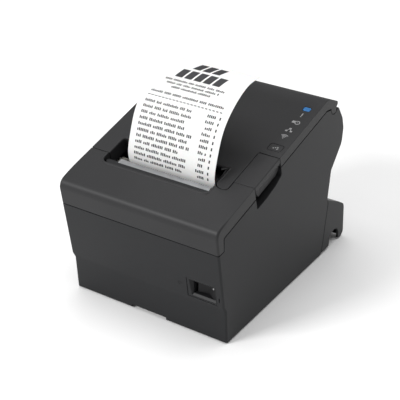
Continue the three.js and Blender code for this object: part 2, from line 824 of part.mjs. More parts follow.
// The blade with its shallow V edge and the two racks that drive it
function movingBlade() {
  const plate = alongZ([
    [paperLeft - 2, -28],
    [paperRight + 2, -28],
    [paperRight + 2, -1],
    [paperCentre, -3.6],
    [paperLeft - 2, -1],
  ], -16.8, -15.8);
  const pitch = Math.PI * cutterModule;
  const rackTop = cutterShaft[1] - (rackPinionTeeth * cutterModule) / 2;
  const racks = rackX.map((x) => {
    const teeth = [];
    for (let i = -7; i <= 1; i += 1) {
      const s = cutterShaft[0] + (i + 0.5) * pitch;
      teeth.push([s - 0.3 * pitch, rackTop - 0.5], [s - 0.09 * pitch, rackTop + 0.35]);
      teeth.push([s + 0.09 * pitch, rackTop + 0.35], [s + 0.3 * pitch, rackTop - 0.5]);
    }
    const outline = [[-27.6, -16], [-27.6, rackTop - 0.5], ...teeth, [-12, rackTop - 0.5], [-12, -16]];
    return alongX(outline, x - 2, x + 2);
  });
  return join(plate, ...racks);
}

function cutterMotor() {
  return join(
    bar([24, 46.5], cutterMotorCentre, 9, 32),
    bar([46, 48.3], cutterMotorCentre, 3.2, 20),
    bar([48, 57.5], cutterMotorCentre, 0.9, 12),
  );
}

// The motor's pinion, with a knurled knob for winding the blade back by hand
function cutterKnob() {
  return join(
    spurGear(cutterPinionTeeth, cutterModule, cutterGearWidth, 0.9 + clearance, cutterPinionPhase),
    cut(bar([1.9, 3], [0, 0], 2.4, 18), bar([1, 4], [0, 0], 0.9 + clearance, 12)),
    cut(bar([2.6, 6.5], [0, 0], 5, 18), bar([-4, 4.8], [0, 0], 0.9 + clearance, 12)),
  );
}

// Electronics

function mainBoard() {
  return cut(
    box([-62, 62], [-70, 60], boardZ),
    ...screwPlaces.map(([x, y]) => post([x * 0.95, y * 0.95], [5, 20], 2)),
  );
}

function connectorPanel() {
  const windows = socketRow.map(({ x, width, height }) => box(
    [x - width / 2 - clearance, x + width / 2 + clearance],
    [60, 70],
    [socketFoot - clearance, socketFoot + height + clearance],
  ));
  return cut(box([-60, 60], [61, 62.2], [8, 44]), ...windows);
}

function socket({ width, height, depth, hole }) {
  const [holeWidth, holeHeight] = hole;
  const sill = socketFoot + (height - holeHeight) / 2;
  return cut(
    box([-width / 2, width / 2], [socketRear - depth, socketRear], [socketFoot, socketFoot + height]),
    box([-holeWidth / 2, holeWidth / 2], [socketRear - depth + 3, socketRear + 2], [sill, sill + holeHeight]),
  );
}

// Power switch

function switchHousing() {
  const [low, high] = [switchZ[0] + clearance, switchZ[1] - clearance];
  const lean = (faceTop[0] - faceFoot[0]) / (faceTop[1] - faceFoot[1]);
  const face = (z) => faceFoot[0] + lean * (z - faceFoot[1]);
  const side = [[face(low) + 0.3, low], [face(high) + 0.3, high], [-72, high], [-72, low]];
  const shell = alongX(side, switchX[0] + clearance, switchX[1] - clearance);
  const mouthPlan = [[42, -92], [65.2, -92], [65.2, -86], [46, -86]];
  const mouth = alongZ(mouthPlan, low + 2.2, high - 1);
  const window = box([46, 65.2], [-92, -74], [41.4, 51.9]);
  return cut(shell, mouth, window);
}

// A rocker that tips about an upright axis: a shallow V face over a round keel
function powerRocker() {
  const plan = [
    [-8.6, 0.6],
    [0, 2.4],
    [8.6, -2.6],
    [8.6, -1.2],
    [6.6, 4.2],
    [-6.6, 5.6],
    [-8.6, 2.4],
  ];
  const [x, y] = rockerPivot;
  return alongZ(plan.map(([u, v]) => [x + u, y + v]), 41.8, 51.4);
}

// Lever, button and lights

function coverOpenLever() {
  const section = [
    [leverX[0], 0],
    [leverX[0], -7],
    [56.3, -7],
    [56.3, -wall],
    [69.6, -wall],
    [70, -5.2],
    [68.6, -7.8],
    [66, -8.8],
    [66, -11],
    [69.6, -10],
    [71.9, -7],
    [half, -4],
    [half, 0],
  ];
  const shell = alongY(section, ...leverS);
  const hook = alongX([
    [26, -5],
    [26, -10],
    [30.6, -30.4],
    [35.6, -30.4],
    [34, -28.2],
    [32.4, -28.2],
    [33.4, -10],
    [35, -5],
  ], leverX[0] + 0.3, 57.6);
  const pad = box([56, 60], [leverPivot[0] - 3, leverPivot[0] + 3], [leverPivot[1] - 3, -1]);
  const [front, rear] = leverS;
  const rearChamfer = alongX([[rear - 0.6, 0.1], [rear + 0.1, 0.1], [rear + 0.1, -0.6]], 54, 73);
  const frontLean = alongX([[front - 1, -3.5], [front, -3.5], [front + 1.5, -12], [front - 1, -12]], 54, 73);
  return cut(join(shell, hook, pad), bar([50, 64], leverPivot, 1.3, 20), rearChamfer, frontLean);
}

function feedButton() {
  const cap = rounded([
    [buttonX[0] + 0.3, buttonS[0] + 0.3, 1.5],
    [buttonX[1] - 0.3, buttonS[0] + 0.3, 1.5],
    [buttonX[1] - 0.3, buttonS[1] - 0.3, 1.5],
    [buttonX[0] + 0.3, buttonS[1] - 0.3, 1.5],
  ], 3);
  return join(alongZ(cap, -3.2, -0.1), box([62, 64.6], [55, 57.2], [-5.2, -3]));
}

function statusLens() {
  return join(
    box([lensX[0] + 0.3, lensX[1] - 0.3], [lensS[0] + 0.3, lensS[1] - 0.3], [-4, -0.1]),
    box([61.2, 63.8], [106.5, 109.1], [-6.4, -3.9]),
  );
}

function panelBoard() {
  return slopeBox([56, 69], [50.5, 112], [-8.2, -6.9]);
}

function tearBar() {
  const teeth = Array.from({ length: 43 }, (_, i) => [paperLeft - 6 + i * 2.0, i % 2 ? -0.9 : -1.7]);
  const outline = [[paperLeft - 6, -6.4], [paperLeft + 78, -6.4], ...teeth.reverse()];
  return alongZ(outline, -2.6, -1.8);
}

// The block under the tear bar, with a lip that fills the front of the paper exit
function tearBarBase() {
  const [left, right, front] = [exitLeft + 0.7, exitRight - 0.7, exitFront + 0.5];
  const lip = rounded([[left, front, 3.4], [right, front, 3.4], [right, -6.7], [left, -6.7]]);
  return join(
    alongZ(lip, -4.5, -1),
    box([-48, 43], [-8, -6], [-4.5, -2.9]),
    box([-48, 48], [-6.2, -3.6], [-12, -2.9]),
    box([-48, 48], [-9.6, -3.6], [-12, -10.8]),
  );
}

function latchPin() {
  return bar([50.3, 58], [36.6, -25.4], 1.5, 20);
}

// The feeler that rests on the roll's end, to tell when little paper is left
function nearEndLever() {
  return join(
    box([-2.4, -1.3], [-0.8, 12.4], [-4, 4]),
    box([-2.4, 0], [-0.8, 0.8], [-4, 4]),
    post([0, 0], [-6, 6], 1.6, 16),
  );
}

// Assembly

add('lower_case', lowerCase(), materials.casing);
add('front_cover', frontCover(), materials.cover);
add('roll_cover', rollCover(), materials.cover);
add('connector_cover', connectorCover(), materials.casing);
add('bottom_plate', bottomPlate(), materials.innerPlastic);
add('chassis', chassis(), materials.zinc);
add('roll_bin', rollBin(), materials.innerPlastic);

const corners = ['front_left', 'front_right', 'rear_left', 'rear_right'];
footPlaces.forEach(([x, y], i) => {
  add(`foot_${corners[i]}`, foot(), materials.rubber, [x, y, 0]);
});
screwPlaces.forEach(([x, y], i) => {
  add(`base_screw_${i + 1}`, baseScrew(), materials.steel, [x, y, 0]);
});

const roll = [0, ...rollCentre];
const platen = [0, ...platenCentre];
add('paper_roll', paperRoll(), materials.paper, roll);
add('roll_core', rollCore(), materials.cardboard, roll);
add('paper_web', paperWeb(), materials.paper);
add('receipt_strip', receiptStrip(), materials.paper);
add('platen_shaft', platenShaft(), materials.steel, platen);
add('platen_rubber', platenRubber(), materials.rubber, platen);
const platenGear = spurGear(platenTeeth, 1, feedGearWidth, 2 + clearance);
add('platen_gear', platenGear, materials.gear, [feedGearX, ...platenCentre]);
add('platen_bush_left', platenBush(), materials.gear, [-42.6, ...platenCentre]);
add('platen_bush_right', platenBush(), materials.gear, [49.3, ...platenCentre]);
add('platen_bracket', platenBracket(), materials.darkSteel);
add('thermal_head', thermalHead(), materials.ceramic);
add('head_heatsink', headHeatsink(), materials.aluminium);
const springPlace = nipPoint(platenRadius + springEnd - clearance);
const springTurn = new THREE.Euler(nipTilt - Math.PI / 2, 0, 0);
[-24, 30].forEach((x, i) => {
  const place = [x, springPlace[0] + 9 * Math.sin(nipTilt), springPlace[1] - 9 * Math.cos(nipTilt)];
  const spring = add(`head_spring_${['left', 'right'][i]}`, coilSpring(6, 3, 7.4), materials.steel, place);
  spring.rotation.copy(springTurn);
});
add('feed_motor', feedMotor(), materials.darkSteel);
const feedIdlerGear = spurGear(feedIdlerTeeth, 1, feedGearWidth, 1.5, feedIdlerPhase);
const feedPinion = spurGear(feedPinionTeeth, 1, feedGearWidth, 1.3, feedPinionPhase);
add('feed_idler_gear', feedIdlerGear, materials.gear, [feedGearX, ...feedIdler]);
add('feed_motor_pinion', feedPinion, materials.gear, [feedGearX, ...motorCentre]);

// Everything in the cutter, the tear bar and the controls lies square to the sloping top
const slope = new THREE.Group();
slope.position.set(0, ...slopeOrigin);
slope.rotation.x = slopeAngle;
printer.add(slope);

add('cover_open_lever', coverOpenLever(), materials.lever, [0, 0, 0], slope);
add('lever_pin', bar([52.2, 61], [0, 0], 1, 20), materials.steel, [0, ...leverPivot], slope);
add('feed_button', feedButton(), materials.cover, [0, 0, 0], slope);
add('status_lens', statusLens(), materials.lens, [0, 0, 0], slope);
add('moving_blade', movingBlade(), materials.steel, [0, 0, 0], slope);

add('tear_bar', tearBar(), materials.steel, [0, 0, 0], slope);
add('tear_bar_base', tearBarBase(), materials.innerPlastic, [0, 0, 0], slope);
add('latch_pin', latchPin(), materials.steel, [0, 0, 0], slope);

const cutterAxis = (x) => [x, ...cutterShaft];
const bore = 1.5 + clearance;
add('cutter_shaft', bar([-41, 57], [0, 0], 1.5, 20), materials.steel, cutterAxis(0), slope);
rackX.forEach((x, i) => {
  const shape = spurGear(rackPinionTeeth, cutterModule, cutterGearWidth, bore);
  add(`cutter_pinion_${['left', 'right'][i]}`, shape, materials.gear, cutterAxis(x), slope);
});
const cutterGear = spurGear(cutterTeeth, cutterModule, cutterGearWidth, bore);
const cutterIdlerGear = spurGear(cutterIdlerTeeth, cutterModule, cutterGearWidth, 1.5, cutterIdlerPhase);
add('cutter_gear', cutterGear, materials.gear, [cutterGearX, ...onSlope(...cutterShaft)]);
add('cutter_idler_gear', cutterIdlerGear, materials.gear, [cutterGearX, ...cutterIdler]);
add('cutter_motor_pinion', cutterKnob(), materials.gear, [cutterGearX, ...cutterMotorCentre]);
add('cutter_motor', cutterMotor(), materials.darkSteel);
add('cutter_frame', cutterFrame(), materials.zinc);
add('fixed_blade', fixedBlade(), materials.steel);
add('panel_board', panelBoard(), materials.board);

add('main_board', mainBoard(), materials.board);
add('connector_panel', connectorPanel(), materials.zinc);
socketRow.forEach((plan) => add(plan.name, socket(plan), materials.socket, [plan.x, 0, 0]));
add('switch_housing', switchHousing(), materials.innerPlastic);
add('power_rocker', powerRocker(), materials.socket);
add('near_end_lever', nearEndLever(), materials.gear, [paperRight + 3.4, 20.6, 75]);

const model = new THREE.Group();
printer.position.y = -connectorReach / 2;
model.add(printer);

export default model;
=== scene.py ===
import bpy
import bmesh
import json
import math
import random
from mathutils import Matrix, Vector
from mathutils.geometry import interpolate_bezier


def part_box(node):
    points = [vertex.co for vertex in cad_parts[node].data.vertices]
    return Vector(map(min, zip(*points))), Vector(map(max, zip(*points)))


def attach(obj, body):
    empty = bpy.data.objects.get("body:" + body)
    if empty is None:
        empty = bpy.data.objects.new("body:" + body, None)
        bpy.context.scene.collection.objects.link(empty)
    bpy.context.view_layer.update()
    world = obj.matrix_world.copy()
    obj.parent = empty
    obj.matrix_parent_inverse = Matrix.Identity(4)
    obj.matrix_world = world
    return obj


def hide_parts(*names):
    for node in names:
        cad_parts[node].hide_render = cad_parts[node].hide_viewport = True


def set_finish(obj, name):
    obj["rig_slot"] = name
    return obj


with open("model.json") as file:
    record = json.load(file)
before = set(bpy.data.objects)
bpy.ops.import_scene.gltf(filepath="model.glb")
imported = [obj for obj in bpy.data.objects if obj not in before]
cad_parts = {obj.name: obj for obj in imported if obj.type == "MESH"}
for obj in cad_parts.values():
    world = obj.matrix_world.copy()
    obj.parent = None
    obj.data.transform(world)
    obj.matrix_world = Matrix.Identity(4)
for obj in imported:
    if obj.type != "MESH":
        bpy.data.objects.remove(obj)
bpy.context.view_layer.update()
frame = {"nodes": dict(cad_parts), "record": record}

scene = bpy.context.scene
joints = {joint["name"]: joint for joint in frame["record"]["behaviour"]["joints"]}

# Everything is drawn in millimetres on the printer's body and brought to the frame at the end.
# The roll cover's hinge is the one point that both share.
mm = 0.001
hinge = {"y": 78.5, "z": 137.4}
backward = joints["roll_cover_hinge"]["pos_m"][1] / mm - hinge["y"]
toFrame = Matrix.Scale(mm, 4) @ Matrix.Translation((0, backward, 0))

# The sloping top: s runs back along it and n stands out from it
slope = {"angle": 14.4, "y": -55.4, "z": 117.2}
slopeTurn = Matrix.Rotation(math.radians(slope["angle"]), 4, "X")
slopeFrame = Matrix.Translation((0, slope["y"], slope["z"])) @ slopeTurn

body = {"half": 72.5, "wall": 2.5, "seam": 0.7, "floor": 1.2}


def onSlope(s, n, *radius):
    place = slopeFrame @ Vector((0, s, n))
    return (place.y, place.z, *radius)


# ---- making and cutting


def inPlane(axis, u, v, w):
    return {"x": (w, u, v), "y": (u, w, v), "z": (u, v, w)}[axis]


# An outline drawn out along one axis. A corner with a third number is rounded to that radius.
def prism(corners, start, end, axis="x"):
    bm = bmesh.new()
    outline = [bm.verts.new(inPlane(axis, *corner[:2], start)) for corner in corners]
    grown = bmesh.ops.extrude_face_region(bm, geom=[bm.faces.new(outline)])
    moved = [item for item in grown["geom"] if isinstance(item, bmesh.types.BMVert)]
    bmesh.ops.translate(bm, verts=moved, vec=inPlane(axis, 0, 0, end - start))
    bmesh.ops.recalc_face_normals(bm, faces=bm.faces)
    for i, corner in enumerate(corners):
        if len(corner) < 3:
            continue
        here = Vector(corner[:2])
        before = Vector(corners[i - 1][:2]) - here
        after = Vector(corners[(i + 1) % len(corners)][:2]) - here
        foot = Vector(inPlane(axis, *here, start))
        edges = [
            e for e in bm.edges if alongAxis(e, axis) and min((v.co - foot).length for v in e.verts) < 1e-4
        ]
        reach = corner[2] / math.tan(before.angle(after) / 2)
        steps = max(4, round(corner[2]))
        bmesh.ops.bevel(bm, geom=edges, offset=reach, offset_type="OFFSET", affect="EDGES", segments=steps,
                        profile=0.5, material=-1)
    return bm


def alongAxis(edge, axis):
    direction = edge.verts[1].co - edge.verts[0].co
    return abs(direction["xyz".index(axis)]) > 0.999 * direction.length


def block(x, y, z):
    return prism([(x[0], y[0]), (x[1], y[0]), (x[1], y[1]), (x[0], y[1])], *z, axis="z")


# A round bar, turned from its radius
def rod(centre, radius, start, end, axis="x", segments=48):
    bm = bmesh.new()
    bmesh.ops.create_cone(bm, cap_ends=True, segments=segments, radius1=radius, radius2=radius,
                          depth=end - start)
    middle = Vector(inPlane(axis, *centre, (start + end) / 2))
    quarter = math.pi / 2
    turn = {"x": Matrix.Rotation(quarter, 4, "Y"), "y": Matrix.Rotation(quarter, 4, "X"), "z": Matrix()}
    bmesh.ops.transform(bm, matrix=Matrix.Translation(middle) @ turn[axis], verts=bm.verts)
    return bm


def tilted(bm):
    bmesh.ops.transform(bm, matrix=slopeFrame, verts=bm.verts)
    return bm


def placed(bm, name):
    bmesh.ops.transform(bm, matrix=toFrame, verts=bm.verts)
    mesh = bpy.data.meshes.new(name)
    bm.to_mesh(mesh)
    bm.free()
    piece = bpy.data.objects.new(name, mesh)
    scene.collection.objects.link(piece)
    return piece


def settle(piece):
    depsgraph = bpy.context.evaluated_depsgraph_get()
    mesh = bpy.data.meshes.new_from_object(piece.evaluated_get(depsgraph))
    piece.modifiers.clear()
    old = piece.data
    piece.data = mesh
    bpy.data.meshes.remove(old)
    mesh.name = piece.name
    return piece


def combine(piece, operation, *shapes):
    for shape in shapes:
        tool = placed(shape, "tool")
        modifier = piece.modifiers.new("tool", "BOOLEAN")
        modifier.operation = operation
        modifier.object = tool
        modifier.solver = "EXACT"
        settle(piece)
        mesh = tool.data
        bpy.data.objects.remove(tool)
        bpy.data.meshes.remove(mesh)
    return piece


def carve(piece, *shapes):
    return combine(piece, "DIFFERENCE", *shapes)


def weld(piece, *shapes):
    return combine(piece, "UNION", *shapes)


# Breaks the sharp edges. widthAt gives an edge's width in mm from its middle on the printer's body.
def soften(piece, widthAt, segments=3, sharp=30):
    widest = 4.0
    toBody = toFrame.inverted()
    bm = bmesh.new()
    bm.from_mesh(piece.data)
    bmesh.ops.remove_doubles(bm, verts=bm.verts, dist=0.02 * mm)
    bmesh.ops.dissolve_degenerate(bm, edges=bm.edges, dist=0.02 * mm)
    weights = bm.edges.layers.float.new("bevel_weight_edge")
    for edge in bm.edges:
        if not edge.is_manifold or edge.calc_face_angle(0) < math.radians(sharp):
            continue
        middle = toBody @ ((edge.verts[0].co + edge.verts[1].co) / 2)
        edge[weights] = widthAt(middle) / widest
    bm.to_mesh(piece.data)
    bm.free()
    bevel = piece.modifiers.new("soft edges", "BEVEL")
    bevel.limit_method = "WEIGHT"
    bevel.width = widest * mm
    bevel.segments = segments
    bevel.use_clamp_overlap = False
    bevel.miter_outer = "MITER_ARC"
    return piece


# Names the piece's body, the nodes it stands for and its finish
def fit(piece, ride, material, slot, *nodes, smooth=35):
    piece.data.materials.clear()
    piece.data.materials.append(material)
    piece.data.shade_smooth()
    piece.data.set_sharp_from_angle(angle=math.radians(smooth))
    even = piece.modifiers.new("even shading", "WEIGHTED_NORMAL")
    even.keep_sharp = True
    even.weight = 80
    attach(piece, ride)
    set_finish(piece, slot)
    if nodes:
        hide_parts(*nodes)
    return piece


# ---- materials


def colour(code):
    parts = [int(code[i:i + 2], 16) / 255 for i in (1, 3, 5)]
    return (*[p / 12.92 if p <= 0.04045 else ((p + 0.055) / 1.055) ** 2.4 for p in parts], 1)


def addNode(tree, kind, inputs=None, **settings):
    node = tree.nodes.new(kind)
    for name, value in settings.items():
        setattr(node, name, value)
    for socket, value in (inputs or {}).items():
        if isinstance(value, bpy.types.NodeSocket):
            tree.links.new(value, node.inputs[socket])
        else:
            node.inputs[socket].default_value = value
    return node


def blank(name, **settings):
    material = bpy.data.materials.new(name)
    material.use_nodes = True
    tree = material.node_tree
    shader = tree.nodes["Principled BSDF"]
    for socket, value in settings.items():
        shader.inputs[socket.replace("_", " ")].default_value = value
    place = addNode(tree, "ShaderNodeTexCoord").outputs["Object"]
    return material, tree, shader, place


# A grain of this size in mm that mixes two colours and moves the roughness and the surface
def grainy(tree, shader, place, size, colours, roughness, relief, detail=3.0, stretch=(1, 1, 1)):
    lie = addNode(tree, "ShaderNodeMapping", {"Vector": place, "Scale": stretch})
    noise = addNode(tree, "ShaderNodeTexNoise",
                    {"Vector": lie.outputs[0], "Scale": 1 / (size * mm), "Detail": detail})
    tint = addNode(tree, "ShaderNodeMix", {0: noise.outputs[0], 6: colour(colours[0]), 7: colour(colours[1])},
                   data_type="RGBA")
    gloss = addNode(tree, "ShaderNodeMapRange", {"Value": noise.outputs[0], "To Min": roughness[0],
                                                 "To Max": roughness[1]})
    bump = addNode(tree, "ShaderNodeBump",
                   {"Height": noise.outputs[0], "Distance": relief * mm, "Strength": 1.0})
    tree.links.new(tint.outputs[2], shader.inputs["Base Color"])
    tree.links.new(gloss.outputs[0], shader.inputs["Roughness"])
    tree.links.new(bump.outputs[0], shader.inputs["Normal"])
    return tint, gloss, bump


# ABS moulded in a spark-eroded tool: a fine, even, matt grain. The real grain is about 0.1 mm and is
# drawn at 0.5 mm, so that it shows.
def mouldedAbs(name, dark, light, roughness=(0.36, 0.5)):
    material, tree, shader, place = blank(name, IOR=1.53, Specular_IOR_Level=0.16)
    tint, gloss, bump = grainy(tree, shader, place, 0.5, (dark, light), roughness, 0.012)
    # Slow, faint changes of tone from handling
    cloud = addNode(tree, "ShaderNodeTexNoise", {"Vector": place, "Scale": 1 / (38 * mm), "Detail": 2.0})
    veil = addNode(tree, "ShaderNodeMapRange", {"Value": cloud.outputs[0], "To Min": 0.93, "To Max": 1.07})
    shade = addNode(tree, "ShaderNodeVectorMath", {0: tint.outputs[2], 3: veil.outputs[0]}, operation="SCALE")
    tree.links.new(shade.outputs[0], shader.inputs["Base Color"])
    return material


# Steel drawn or ground: fine lines along X
def brushedSteel(name, dark, light, roughness=(0.22, 0.4), along=(0.04, 1, 1)):
    material, tree, shader, place = blank(name, Metallic=1.0)
    grainy(tree, shader, place, 0.35, (dark, light), roughness, 0.004, stretch=along)
    return material


# Zinc coating: cool grey crystals a few mm across
def zincPlate(name):
    material, tree, shader, place = blank(name, Metallic=1.0)
    crystal = addNode(tree, "ShaderNodeTexVoronoi", {"Vector": place, "Scale": 1 / (3.2 * mm)})
    tint = addNode(tree, "ShaderNodeMix",
                   {0: crystal.outputs["Color"], 6: colour("#9fa2a5"), 7: colour("#c3c5c7")},
                   data_type="RGBA")
    gloss = addNode(tree, "ShaderNodeMapRange",
                    {"Value": crystal.outputs["Distance"], "To Min": 0.3, "To Max": 0.5})
    tree.links.new(tint.outputs[2], shader.inputs["Base Color"])
    tree.links.new(gloss.outputs[0], shader.inputs["Roughness"])
    return material


# Thermal paper: bright coated white with a faint fibre
def thermalPaper(name):
    material, tree, shader, place = blank(name, IOR=1.5)
    grainy(tree, shader, place, 1.4, ("#dededd", "#e6e6e5"), (0.55, 0.7), 0.004)
    shader.inputs["Subsurface Weight"].default_value = 0.08
    shader.inputs["Subsurface Scale"].default_value = 0.4 * mm
    return material


# The ends of a paper roll: its windings, drawn 0.9 mm apart although the paper is 0.06 mm thick
def woundPaper(name, centre):
    material, tree, shader, place = blank(name, IOR=1.5, Roughness=0.75)
    seat = addNode(tree, "ShaderNodeMapping", {"Vector": place, "Location": (0, -centre.y, -centre.z),
                                               "Scale": (0, 1, 1)})
    reach = addNode(tree, "ShaderNodeVectorMath", {0: seat.outputs[0]}, operation="LENGTH")
    turns = addNode(tree, "ShaderNodeMath", {0: reach.outputs[1], 1: 2 * math.pi / (0.9 * mm)},
                    operation="MULTIPLY")
    wave = addNode(tree, "ShaderNodeMath", {0: turns.outputs[0]}, operation="SINE")
    line = addNode(tree, "ShaderNodeMapRange", {"Value": wave.outputs[0], "From Min": -1.0})
    tint = addNode(tree, "ShaderNodeMix", {0: line.outputs[0], 6: colour("#dcdcd8"), 7: colour("#f6f6f3")},
                   data_type="RGBA")
    bump = addNode(tree, "ShaderNodeBump", {"Height": line.outputs[0], "Distance": 0.03 * mm})
    tree.links.new(tint.outputs[2], shader.inputs["Base Color"])
    tree.links.new(bump.outputs[0], shader.inputs["Normal"])
    return material


# Glass-fibre board under green solder mask, with copper runs that show through it
def circuitBoard(name):
    material, tree, shader, place = blank(name, IOR=1.5)
    runs = addNode(tree, "ShaderNodeTexBrick", {"Vector": place, "Scale": 1 / (9 * mm), "Mortar Size": 0.06,
                                                "Color1": colour("#1d5c33"), "Color2": colour("#236b3b"),
                                                "Mortar": colour("#2f8047")})
    tree.links.new(runs.outputs["Color"], shader.inputs["Base Color"])
    gloss = addNode(tree, "ShaderNodeMapRange", {"Value": runs.outputs["Fac"], "To Min": 0.25, "To Max": 0.4})
    tree.links.new(gloss.outputs[0], shader.inputs["Roughness"])
    return material


# A clear blue light guide, lit from behind
def litLens(name):
    material, tree, shader, place = blank(name, IOR=1.49, Roughness=0.25, Transmission_Weight=0.2)
    glow = addNode(tree, "ShaderNodeTexNoise", {"Vector": place, "Scale": 1 / (2.5 * mm), "Detail": 1.0})
    tint = addNode(tree, "ShaderNodeMix", {0: glow.outputs[0], 6: colour("#1b62a3"), 7: colour("#3580bd")},
                   data_type="RGBA")
    tree.links.new(tint.outputs[2], shader.inputs["Base Color"])
    tree.links.new(tint.outputs[2], shader.inputs["Emission Color"])
    shader.inputs["Emission Strength"].default_value = 0.15
    return material


def plain(name, size, colours, roughness, relief, metallic=0.0, ior=1.5):
    material, tree, shader, place = blank(name, Metallic=metallic, IOR=ior)
    grainy(tree, shader, place, size, colours, roughness, relief)
    return material


rollMiddle = sum(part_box("paper_roll"), Vector()) / 2
looks = {
    "cover": mouldedAbs("moulded ABS, top covers", "#2b2b2c", "#313132"),
    # The case is the same ABS as the covers but is drawn darker, as painted shade on its front and sides; the
    # covers on top keep the lighter tone.
    "casing": mouldedAbs("moulded ABS, case", "#1f1f21", "#242526"),
    "lever": mouldedAbs("moulded ABS, lever", "#2b2b2c", "#313132"),
    "inner_plastic": mouldedAbs("moulded ABS, inner parts", "#171718", "#1e1e1f", (0.5, 0.65)),
    "steel": brushedSteel("ground stainless steel", "#8f9092", "#acadaf", (0.3, 0.45)),
    "motor_can": brushedSteel("drawn steel, motor can", "#6d6f72", "#85878a", (0.3, 0.5)),
    "zinc": zincPlate("zinc-plated sheet steel"),
    "aluminium": brushedSteel("extruded aluminium", "#b9bbbd", "#cdcfd1", (0.3, 0.5)),
    "rubber": plain("nitrile rubber", 0.7, ("#181818", "#232323"), (0.7, 0.9), 0.02, ior=1.52),
    "paper": thermalPaper("thermal paper"),
    "roll": woundPaper("wound thermal paper", rollMiddle),
    "board": circuitBoard("solder-masked circuit board"),
    "ceramic": plain("glazed alumina", 0.8, ("#dddad0", "#e9e7df"), (0.15, 0.3), 0.004, ior=1.76),
    "gear": plain("moulded acetal", 0.6, ("#dcdad1", "#e8e6de"), (0.35, 0.5), 0.006, ior=1.48),
    "lens": litLens("acrylic light guide"),
    "socket": plain("glossy black nylon", 0.6, ("#101011", "#19191a"), (0.25, 0.4), 0.006, ior=1.53),
    "cardboard": plain("spiral-wound cardboard", 1.1, ("#a07c50", "#bb935f"), (0.8, 0.95), 0.05),
    "print": plain("pad-printed marks", 0.5, ("#8d8d8e", "#9c9c9d"), (0.45, 0.6), 0.004),
    "ink": plain("developed thermal print", 0.4, ("#1c1c1f", "#303033"), (0.5, 0.65), 0.002),
}

for node in frame["nodes"].values():
    slotName = node.get("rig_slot") or ""
    used = {"paper_roll": looks["roll"], "fixed_blade": looks["motor_can"]}.get(node.name)
    for slotIndex in node.material_slots:
        key = slotIndex.material.name.split(".")[0] if slotIndex.material else slotName
        slotIndex.material = used or looks.get(key, looks["inner_plastic"])
print("materials ready")


# ---- covers and case

front = {
    "face": [(-95.3, 84.9), (-87.6, 36)],  # leaning front face, top and foot
    "edgeRadius": 8,
    "cornerRadius": 1.8,
    "band": 10.6,  # depth of the cover's side
    "rear": 8.6,
    "side": -37.3,
    "rimRadius": 1.1,
}
wayOut = {"left": -55, "right": 43, "front": -10.8, "rear": 20.6, "corner": 5, "bead": 1.8, "beadHeight": 0.5}
tongue = {"right": 54.1, "front": -1.2, "left": 6, "corner": 2.6}
lever = {"left": 54.5, "front": 9, "rear": 46}
tail = [(67.1, 148.66), (83.6, 140.69)]


# Where two straight lines meet
def meet(a, b, c, d):
    first = Vector(b[:2]) - Vector(a[:2])
    second = Vector(d[:2]) - Vector(c[:2])
    gap = Vector(c[:2]) - Vector(a[:2])
    across = first.x * second.y - first.y * second.x
    return Vector(a[:2]) + first * (gap.x * second.y - gap.y * second.x) / across


frontEdge = meet(*front["face"], onSlope(0, 0), onSlope(110, 0))
crest = meet(onSlope(0, 0), onSlope(110, 0), *tail)


def slopeOf(middle):
    return slopeFrame.inverted() @ middle


# Rounds the upright corners at the front, up to where the sloping top begins
def roundFront(bm):
    corner = []
    for edge in bm.edges:
        middle = (edge.verts[0].co + edge.verts[1].co) / 2
        facing = min(face.normal.y for face in edge.link_faces)
        s, n = slopeOf(middle).yz
        upright = abs(middle.x) > body["half"] - 0.1 and middle.y < -78 and s < -38 and n < -0.02
        if upright and facing < -0.3:
            corner.append(edge)
    bmesh.ops.bevel(bm, geom=corner, offset=front["cornerRadius"], offset_type="OFFSET", affect="EDGES",
                    segments=6, profile=0.5, material=-1)
    return bm


# Widths of the broken edges on every shell
def shellEdge(middle):
    s, n = slopeOf(middle).yz
    across = wayOut["left"] - 0.5 < middle.x < wayOut["right"] + 0.6
    along = wayOut["front"] - 0.5 < s < wayOut["rear"] + 0.5
    if abs(n) < 0.05 and across and along:
        return front["rimRadius"]
    return 0.3


# The low raised rim round the paper's way out, in plan on the slope
def bead(corners):
    bm = prism(corners, -1.5, wayOut["beadHeight"], "z")
    top = [e for e in bm.edges if all(v.co.z > wayOut["beadHeight"] - 0.01 for v in e.verts)]
    bmesh.ops.bevel(bm, geom=top, offset=1.1, offset_type="OFFSET", affect="EDGES", segments=3, profile=0.5,
                    material=-1)
    return tilted(bm)


